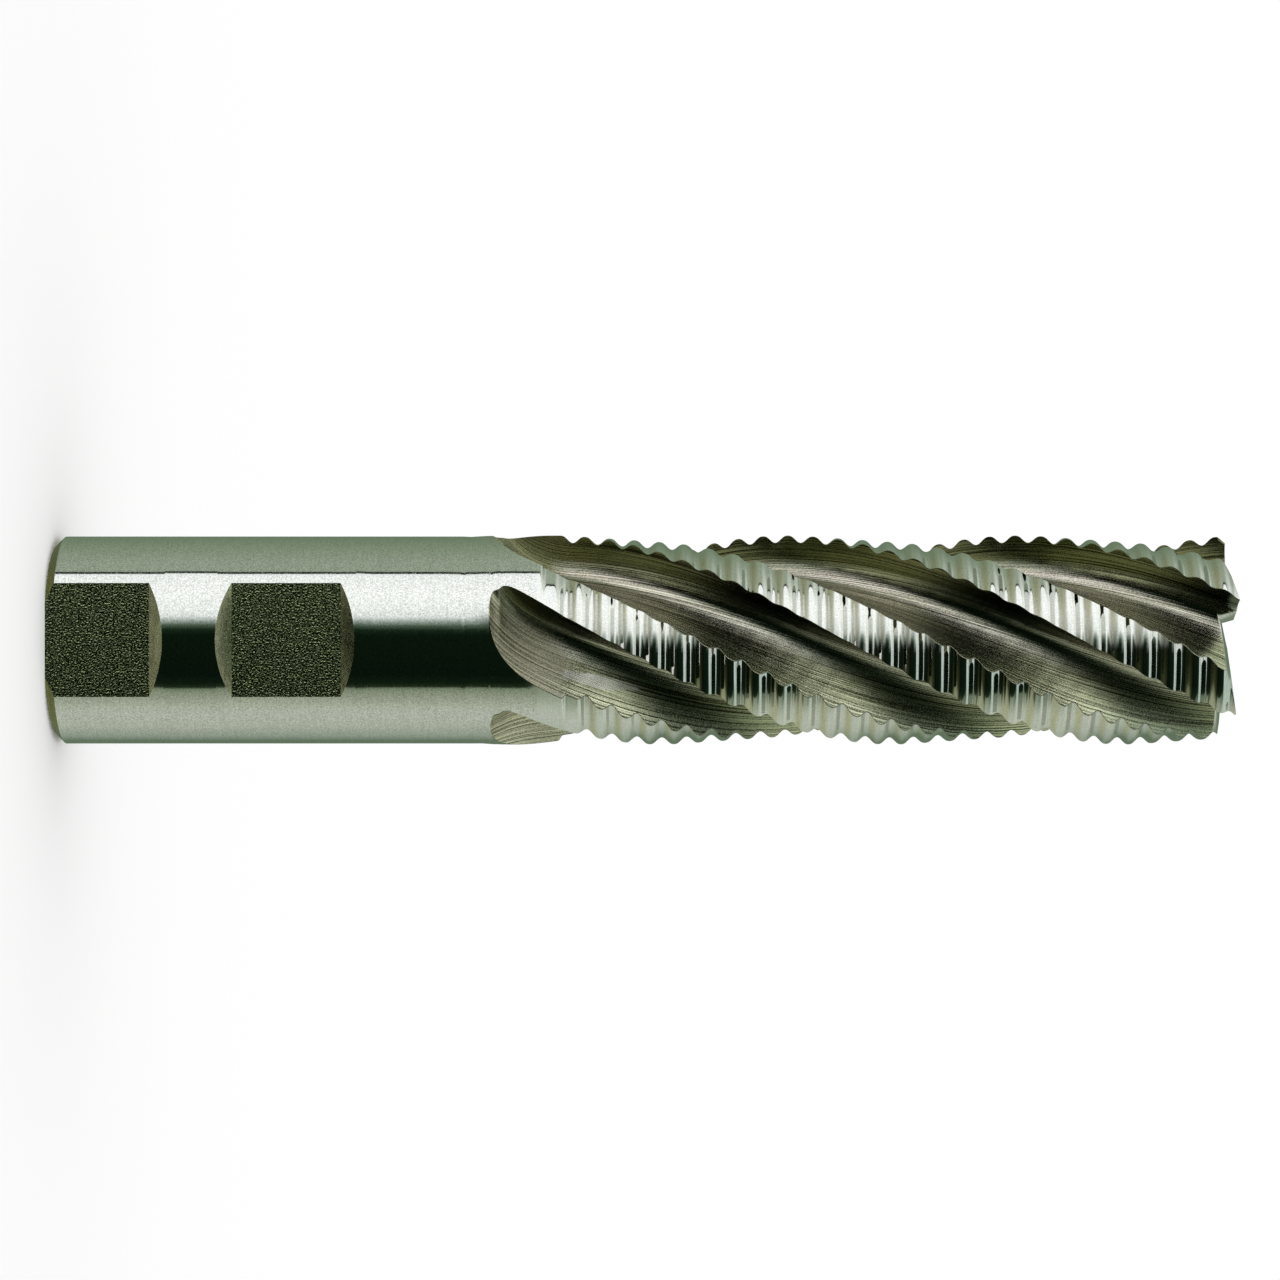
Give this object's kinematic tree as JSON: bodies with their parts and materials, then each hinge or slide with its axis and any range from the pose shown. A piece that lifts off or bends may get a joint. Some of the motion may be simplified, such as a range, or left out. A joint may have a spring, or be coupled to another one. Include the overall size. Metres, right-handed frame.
{
  "type": "roughing end mill",
  "caption": "Roughing end mill with right-hand helical flutes, round chip-breaking knuckles on the lands and a shank with clamping flats.",
  "frame": {"origin": "on the tool's axis at the flat shank end, which it stands on", "axes": "+Z along the tool's axis towards the cutting end, -Y square to the two clamping flats"},
  "size_m": [0.0256, 0.0256, 0.1434],
  "materials": {
    "ground_high_speed_steel": "ground bright, uncoated"
  },
  "bodies": {
    "root": {"end_mill": "ground_high_speed_steel"}
  },
  "joints": []
}
